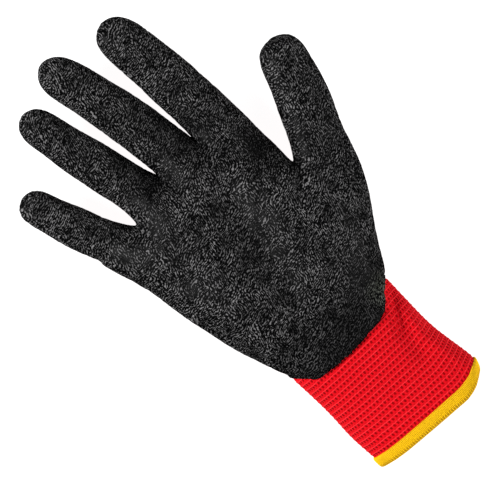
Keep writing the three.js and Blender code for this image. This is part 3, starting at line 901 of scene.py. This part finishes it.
class GLOVE_OT_cuff(Operator):
    """Make the cuff's elastic knit: raised cords across it, with a row of small holes between each two"""

    bl_idname = "glove.cuff"
    bl_label = "Ribbed cuff"

    def execute(self, context):
        settings = context.scene.glove_knit
        wall = CuffWall(CUFF_COLUMNS)
        cords = wall.length / settings.cord_pitch
        stitches = round(wall.girth / settings.stitch_pitch)
        stitch = np.linspace(0, stitches, CUFF_COLUMNS, endpoint=False)
        points, places = [], []
        for share in np.linspace(HIDDEN_END / wall.length, 1, CUFF_ROWS):
            ring, out = wall.at(share), wall.outward_at(share)
            cord = share * cords + noise_at(ring, WAVER_REACH) * ROW_WAVER
            height = self.stitch_height(stitch, cord) * settings.relief * RELIEF_SHARE
            height -= SUNK_UNDER_COATING * under_coating(ring)
            height -= SUNK_AT_WRIST * np.clip(1 - (1 - share) * wall.length / WRIST_STRETCH, 0, 1)
            place = ring + out * height[:, None]
            place[:, 2] += form_heights(ring, CUFF_FOLDS)
            points.append(place)
            places.append(np.stack([stitch, cord], axis=1))
        outer = np.concatenate(points)
        outer[:, 2] = np.maximum(outer[:, 2], 0)
        faces = grid_faces(CUFF_ROWS, CUFF_COLUMNS)
        outer_places = corner_places(np.concatenate(places), faces, stitches)
        inner, inner_faces, inner_places = self.inner_wall(wall, stitches, cords)
        piece = make_piece(
            "cuff_knit",
            np.concatenate([outer, inner]),
            [*faces, *inner_faces],
            np.concatenate([outer_places, inner_places]),
        )
        finish_piece(piece, "red_rib", rib_material(settings), "ribbed_cuff")
        return {"FINISHED"}

    def stitch_height(self, stitch, cord):
        """Height of the rib over its ground, from -1 in its holes to 1 on its cords."""
        beat = np.cos(stitch * CIRCLE)

        def row(phase, reach):
            away = np.abs((cord - phase + 0.5) % 1 - 0.5)
            return np.clip(1 - away / reach, 0, 1)

        cords = row(CORD_PHASE, CORD_RELIEF_REACH) * (0.9 + 0.1 * beat)
        holes = row(HOLE_PHASE, HOLE_RELIEF_REACH) * np.clip(beat, 0, 1)
        return cords - holes * HOLE_DEPTH - row(DASH_PHASE, DASH_RELIEF_REACH) * DASH_DEPTH

    def inner_wall(self, wall, stitches, cords):
        """The inside of the cuff, coarser than the outside, and the rims that join the two."""
        first = CUFF_ROWS * CUFF_COLUMNS
        columns = CUFF_COLUMNS // INSIDE_STEP
        stitch = np.linspace(0, stitches, columns, endpoint=False)
        points, places = [], []
        for share in np.linspace(HIDDEN_END / wall.length, 1, INSIDE_ROWS):
            inside = (wall.at(share) - wall.outward_at(share) * INSIDE_DEPTH)[::INSIDE_STEP]
            inside[:, 2] = np.maximum(inside[:, 2], INSIDE_FLOOR)
            points.append(inside)
            places.append(np.stack([stitch, np.full(columns, share * cords)], axis=1))
        grid = grid_faces(INSIDE_ROWS, columns)[:, ::-1]
        face_places = list(corner_places(np.concatenate(places), grid, stitches))
        faces = [list(face + first) for face in grid]
        for row, outer_row, turned in ((0, 0, True), (INSIDE_ROWS - 1, CUFF_ROWS - 1, False)):
            for column in range(columns):
                inner_ends = [first + row * columns + c for c in (column, (column + 1) % columns)]
                outer = [(column * INSIDE_STEP + k) % CUFF_COLUMNS for k in range(INSIDE_STEP + 1)]
                fan = [*inner_ends, *(outer_row * CUFF_COLUMNS + c for c in reversed(outer))]
                faces.append(fan[::-1] if turned else fan)
                face_places += [(column / columns * stitches, row / (INSIDE_ROWS - 1) * cords)] * len(fan)
        return np.concatenate(points), faces, np.array(face_places)


class GLOVE_OT_hem(Operator):
    """Make the overlocked edge: slanted threads wrapped round the end of the cuff"""

    bl_idname = "glove.hem"
    bl_label = "Overlocked hem"

    def execute(self, context):
        settings = context.scene.glove_hem
        wall = CuffWall(HEM_COLUMNS)
        threads = round(wall.girth / settings.thread_pitch)
        start_share = HEM_WIDTH / wall.length
        end, start = wall.at(0), wall.at(start_share)
        out = wall.outward_at(start_share * 0.5)
        along = end - start
        span = np.linalg.norm(along, axis=1)[:, None]
        along /= span
        thread = np.linspace(0, threads, HEM_COLUMNS, endpoint=False)
        last = len(HEM_SECTION) - 1
        rows, places = [], []
        for i, (reach, height) in enumerate(HEM_SECTION):
            share = i / last
            phase = thread + settings.threads_across * min(share * SLANT_RATE, 1)
            ridge = np.clip(np.cos(phase * CIRCLE) * 0.6 + 0.4, 0, 1)
            swell = ridge * settings.thread_relief * (END_RELIEF if i in (0, last) else 1)
            before, after = HEM_SECTION[max(i - 1, 0)], HEM_SECTION[min(i + 1, last)]
            normal = np.array([before[1] - after[1], after[0] - before[0]])
            normal /= np.linalg.norm(normal)
            scallop = (ridge - 0.5) * SCALLOP if i < 2 else 0 * ridge
            point = start + along * (reach * MM * span / HEM_WIDTH + (normal[0] * swell - scallop)[:, None])
            point += out * (height * MM + (normal[1] * swell)[:, None])
            point[:, 2] = np.maximum(point[:, 2], 0)
            rows.append(point)
            places.append(np.stack([phase, np.full(HEM_COLUMNS, share * HEM_PATTERN)], axis=1))
        places.append(places[-1])
        faces = grid_faces(len(places), HEM_COLUMNS)[:, ::-1]
        points = np.concatenate(rows)
        face_places = corner_places(np.concatenate(places), faces, threads)
        piece = make_piece("overlock_hem", points, faces % len(points), face_places)
        finish_piece(piece, "yellow_thread", thread_material(settings), "cuff_hem")
        return {"FINISHED"}


class GLOVE_OT_liner(Operator):
    """Make the plain knit of the hand: its back, its sides and its inside"""

    bl_idname = "glove.liner"
    bl_label = "Knitted hand"

    def execute(self, context):
        settings = context.scene.glove_knit
        piece = copy_of_nodes("hand_knit", *KNIT)
        smooth_through(piece, KNIT_LEVELS)
        points = get_points(piece.data)
        points[:, 2] = np.maximum(points[:, 2] + form_heights(points, PALM_FORMS), 0)
        set_points(piece.data, points)
        self.map_stitches(piece.data, settings)
        finish_piece(piece, "red_knit", jersey_material(settings), *KNIT)
        return {"FINISHED"}

    def map_stitches(self, mesh, settings):
        """Lays the stitches along the hand, and along each finger from its root on."""
        points = get_points(mesh) / MM
        wale, course = points[:, 0].copy(), points[:, 1].copy()
        reach = np.full(len(points), FINGER_REACH)
        for x, y, lean in FINGER_ROOTS:
            turn = math.radians(lean)
            beyond = (points[:, 0] - x) * math.sin(turn) + (points[:, 1] - y) * math.cos(turn)
            aside = (points[:, 0] - x) * math.cos(turn) - (points[:, 1] - y) * math.sin(turn)
            mine = (np.abs(aside) < reach) & (beyond > -ROOT_BLEND)
            share = np.clip((beyond + ROOT_BLEND) / (2 * ROOT_BLEND), 0, 1)
            wale = np.where(mine, points[:, 0] * (1 - share) + (x + aside) * share, wale)
            course = np.where(mine, points[:, 1] * (1 - share) + (y + beyond) * share, course)
            reach = np.where(mine, np.abs(aside), reach)
        loop = settings.loop_width / MM
        places = np.stack([wale / loop, course / (loop * LOOP_HEIGHT)], axis=1)
        corners = np.empty(len(mesh.loops), np.int32)
        mesh.loops.foreach_get("vertex_index", corners)
        map_pattern(mesh, places[corners])


class GLOVE_OT_stage(Operator):
    """Make the floor, the lights and the camera"""

    bl_idname = "glove.stage"
    bl_label = "Stage"

    def execute(self, context):
        settings = context.scene.glove_stage
        scene = context.scene
        scene.view_settings.view_transform = "Standard"
        self.make_floor(settings)
        self.make_camera(scene, settings)
        to_room = Matrix.Rotation(-settings.turn, 3, "Z")
        for place, power in LAMPS:
            self.make_lamp(to_room @ Vector(place), power)
        world = scene.world or bpy.data.worlds.new("studio")
        scene.world = world
        world.use_nodes = True
        background = world.node_tree.nodes["Background"]
        background.inputs["Color"].default_value = (1, 1, 1, 1)
        background.inputs["Strength"].default_value = SKY_LIGHT
        return {"FINISHED"}

    def make_floor(self, settings):
        bpy.ops.object.select_all(action="DESELECT")
        bpy.ops.mesh.primitive_plane_add(size=FLOOR_SIZE, location=(0, 0, -FLOOR_DROP))
        floor = bpy.context.object
        floor.name = "floor"
        finish = Finish("floor", roughness=FABRIC_ROUGHNESS, specular_ior_level=0.0)
        finish.shader.inputs["Base Color"].default_value = (*settings.floor_colour, 1)
        finish.shader.inputs["Emission Color"].default_value = (1, 1, 1, 1)
        finish.shader.inputs["Emission Strength"].default_value = FLOOR_GLOW
        floor.data.materials.append(finish.material)
        floor.visible_glossy = False

    def make_lamp(self, place, power):
        """A square lamp at a place, which shines on the glove."""
        light = bpy.data.lights.new("softbox", "AREA")
        light.shape = "SQUARE"
        light.size = LAMP_SIZE
        light.energy = power
        lamp = bpy.data.objects.new("softbox", light)
        lamp.location = place
        lamp.rotation_euler = (-place).to_track_quat("-Z", "Y").to_euler()
        bpy.context.collection.objects.link(lamp)

    def make_camera(self, scene, settings):
        """Straight above the glove, with the picture's top turned towards the thumb's side."""
        data = bpy.data.cameras.new("camera")
        data.lens = settings.lens
        camera = bpy.data.objects.new("camera", data)
        distance = settings.view_width / data.sensor_width * data.lens
        x, y, z = VIEW_CENTRE
        camera.location = (x, y, z + distance)
        camera.rotation_euler = (0, 0, -settings.turn)
        data.clip_start, data.clip_end = (distance * share for share in CLIP_SHARES)
        bpy.context.collection.objects.link(camera)
        scene.camera = camera


class GLOVE_PT_panel(Panel):
    """The glove's settings, and a button for each of its pieces"""

    bl_idname = "GLOVE_PT_panel"
    bl_label = "Grip glove"
    bl_space_type = "VIEW_3D"
    bl_region_type = "UI"
    bl_category = "Glove"

    def draw(self, context):
        for settings, operators in GROUPS.items():
            box = self.layout.box()
            group = getattr(context.scene, settings)
            for name in group.bl_rna.properties.keys():
                if name not in {"rna_type", "name"}:
                    box.prop(group, name)
            for operator in operators:
                box.operator(operator.bl_idname)


GROUPS = {
    "glove_latex": [GLOVE_OT_coating],
    "glove_knit": [GLOVE_OT_liner, GLOVE_OT_cuff],
    "glove_hem": [GLOVE_OT_hem],
    "glove_stage": [GLOVE_OT_stage],
}
SETTINGS = {
    "glove_latex": LatexSettings,
    "glove_knit": KnitSettings,
    "glove_hem": HemSettings,
    "glove_stage": StageSettings,
}
OPERATORS = [GLOVE_OT_stage, GLOVE_OT_liner, GLOVE_OT_cuff, GLOVE_OT_hem, GLOVE_OT_coating]


def register():
    for cls in (*SETTINGS.values(), *OPERATORS, GLOVE_PT_panel):
        bpy.utils.register_class(cls)
    for name, cls in SETTINGS.items():
        setattr(bpy.types.Scene, name, PointerProperty(type=cls))


def unregister():
    for name in SETTINGS:
        delattr(bpy.types.Scene, name)
    for cls in (GLOVE_PT_panel, *reversed(OPERATORS), *SETTINGS.values()):
        bpy.utils.unregister_class(cls)


def main():
    register()
    bpy.ops.glove.stage()
    bpy.ops.glove.liner()
    bpy.ops.glove.cuff()
    bpy.ops.glove.hem()
    bpy.ops.glove.coating()


if __name__ == "__main__":
    main()
